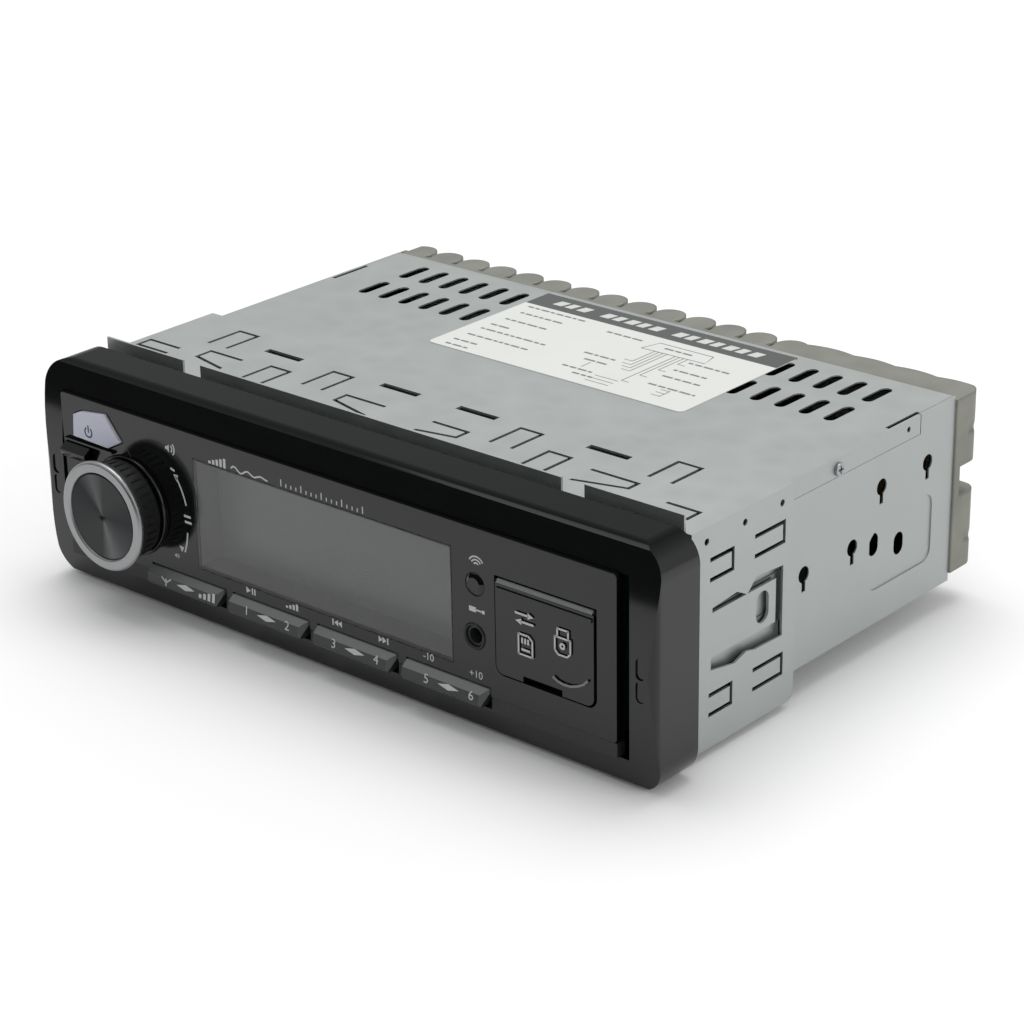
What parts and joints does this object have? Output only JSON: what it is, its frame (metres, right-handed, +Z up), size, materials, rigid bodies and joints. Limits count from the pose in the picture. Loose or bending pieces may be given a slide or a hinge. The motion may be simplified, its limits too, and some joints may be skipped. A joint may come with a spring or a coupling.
{
  "type": "car radio",
  "caption": "Shallow dashboard car radio in a steel mounting sleeve, with a push-turn knob, rocker keys, a clear display window, a socket door and a ribbed rear heat sink.",
  "frame": {"origin": "centre of the mounting sleeve's mouth, in the plane where its lips meet the dashboard", "axes": "+X to the right seen from the driver, +Y to the rear of the dashboard, +Z up"},
  "size_m": [0.191, 0.1429, 0.059],
  "materials": {
    "gloss_black": "polished piano black moulding",
    "black_abs": "fine matt moulded black ABS",
    "grey_abs": "satin dark grey moulding",
    "clear_acrylic": "clear hard-coated acrylic",
    "lcd": "unlit grey liquid crystal glass",
    "white_diffuser": "milky light spreader",
    "circuit_board": "green solder resist",
    "switch_grey": "moulded switch bodies",
    "plated_steel": "bright nickel plate",
    "white_plastic": "natural moulded plastic",
    "satin_silver": "satin silver",
    "spun_black": "spun and black anodised",
    "frosted_key": "frosted translucent key, cool white",
    "ir_window": "polished dark filter plastic",
    "ribbon": "flat flexible cable",
    "zinc_steel": "matt galvanised sheet",
    "spring_steel": "spring strip",
    "paper_label": "printed adhesive paper",
    "cast_aluminium": "as-cast and tumbled",
    "brass_pin": "bright contact metal",
    "fuse_blue": "clear blue fuse body",
    "capacitor_sleeve": "shrunk dark sleeve",
    "copper_winding": "enamelled copper wire"
  },
  "bodies": {
    "chassis": {"front_frame": "gloss_black", "fascia_back": "black_abs", "front_panel": "gloss_black", "key_strip": "black_abs", "display_lens": "clear_acrylic", "display_shroud": "grey_abs", "lcd_glass": "lcd", "lcd_backlight": "white_diffuser", "front_board": "circuit_board", "key_switches": "switch_grey", "knob_collar": "grey_abs", "encoder_housing": "plated_steel", "encoder_bush": "plated_steel", "ir_sensor": "ir_window", "aux_socket": "black_abs", "aux_ring": "grey_abs", "usb_socket": "plated_steel", "card_socket": "plated_steel", "ribbon_link": "ribbon", "fascia_screws": "plated_steel", "chassis_tray": "zinc_steel", "top_cover": "zinc_steel", "rear_plate": "zinc_steel", "cover_screws": "plated_steel", "side_latches": "spring_steel", "rating_label": "paper_label", "mounting_sleeve": "zinc_steel", "heat_sink": "cast_aluminium", "heat_sink_screws": "plated_steel", "main_board": "circuit_board", "board_screws": "plated_steel", "amplifier_chip": "black_abs", "chip_clamp": "zinc_steel", "wiring_socket": "black_abs", "socket_pins": "brass_pin", "blade_fuse": "fuse_blue", "antenna_socket": "plated_steel", "antenna_contact": "brass_pin", "line_sockets": "white_plastic", "line_contacts": "brass_pin", "tuner_module": "plated_steel", "smoothing_capacitors": "capacitor_sleeve", "power_choke": "copper_winding", "media_chip": "black_abs"},
    "volume_push_stem": {"encoder_plunger": "white_plastic"},
    "volume_knob": {"encoder_shaft": "plated_steel", "volume_knob": "black_abs", "knob_ring": "satin_silver", "knob_cap": "spun_black"},
    "power_button": {"power_button": "frosted_key"},
    "mode_key": {"mode_key": "black_abs"},
    "rocker_band": {"rocker_band": "black_abs"},
    "rocker_1_2": {"rocker_1_2": "black_abs"},
    "rocker_3_4": {"rocker_3_4": "black_abs"},
    "rocker_5_6": {"rocker_5_6": "black_abs"},
    "port_door": {"port_door": "black_abs"}
  },
  "joints": [
    {"name": "volume_push", "type": "slide", "parent": "chassis", "child": "volume_push_stem", "axis": [0, 1, 0], "range_m": [0, 0.0005], "stiffness_N_per_m": 1500, "springref_m": -0.001},
    {"name": "volume_turn", "type": "hinge", "parent": "volume_push_stem", "child": "volume_knob", "pos_m": [-0.0655, -0.018, -0.0022], "axis": [0, -1, 0], "continuous": true},
    {"name": "power_press", "type": "slide", "parent": "chassis", "child": "power_button", "axis": [0, 1, 0], "range_m": [0, 0.0006], "stiffness_N_per_m": 1000, "springref_m": -0.001},
    {"name": "mode_press", "type": "slide", "parent": "chassis", "child": "mode_key", "axis": [0, 1, 0], "range_m": [0, 0.0006], "stiffness_N_per_m": 1000, "springref_m": -0.001},
    {"name": "rocker_band_tip", "type": "hinge", "parent": "chassis", "child": "rocker_band", "pos_m": [-0.0465, -0.0134, -0.0181], "axis": [0, 0, 1], "range_deg": [-3, 3], "stiffness_Nm_per_rad": 0.25},
    {"name": "rocker_1_2_tip", "type": "hinge", "parent": "chassis", "child": "rocker_1_2", "pos_m": [-0.0187, -0.0134, -0.0181], "axis": [0, 0, 1], "range_deg": [-3, 3], "stiffness_Nm_per_rad": 0.25},
    {"name": "rocker_3_4_tip", "type": "hinge", "parent": "chassis", "child": "rocker_3_4", "pos_m": [0.0091, -0.0134, -0.0181], "axis": [0, 0, 1], "range_deg": [-3, 3], "stiffness_Nm_per_rad": 0.25},
    {"name": "rocker_5_6_tip", "type": "hinge", "parent": "chassis", "child": "rocker_5_6", "pos_m": [0.0369, -0.0134, -0.0181], "axis": [0, 0, 1], "range_deg": [-3, 3], "stiffness_Nm_per_rad": 0.25},
    {"name": "door_swing", "type": "hinge", "parent": "chassis", "child": "port_door", "pos_m": [0.0653, -0.0173, 0.0107], "axis": [-1, 0, 0], "range_deg": [0, 95]}
  ]
}
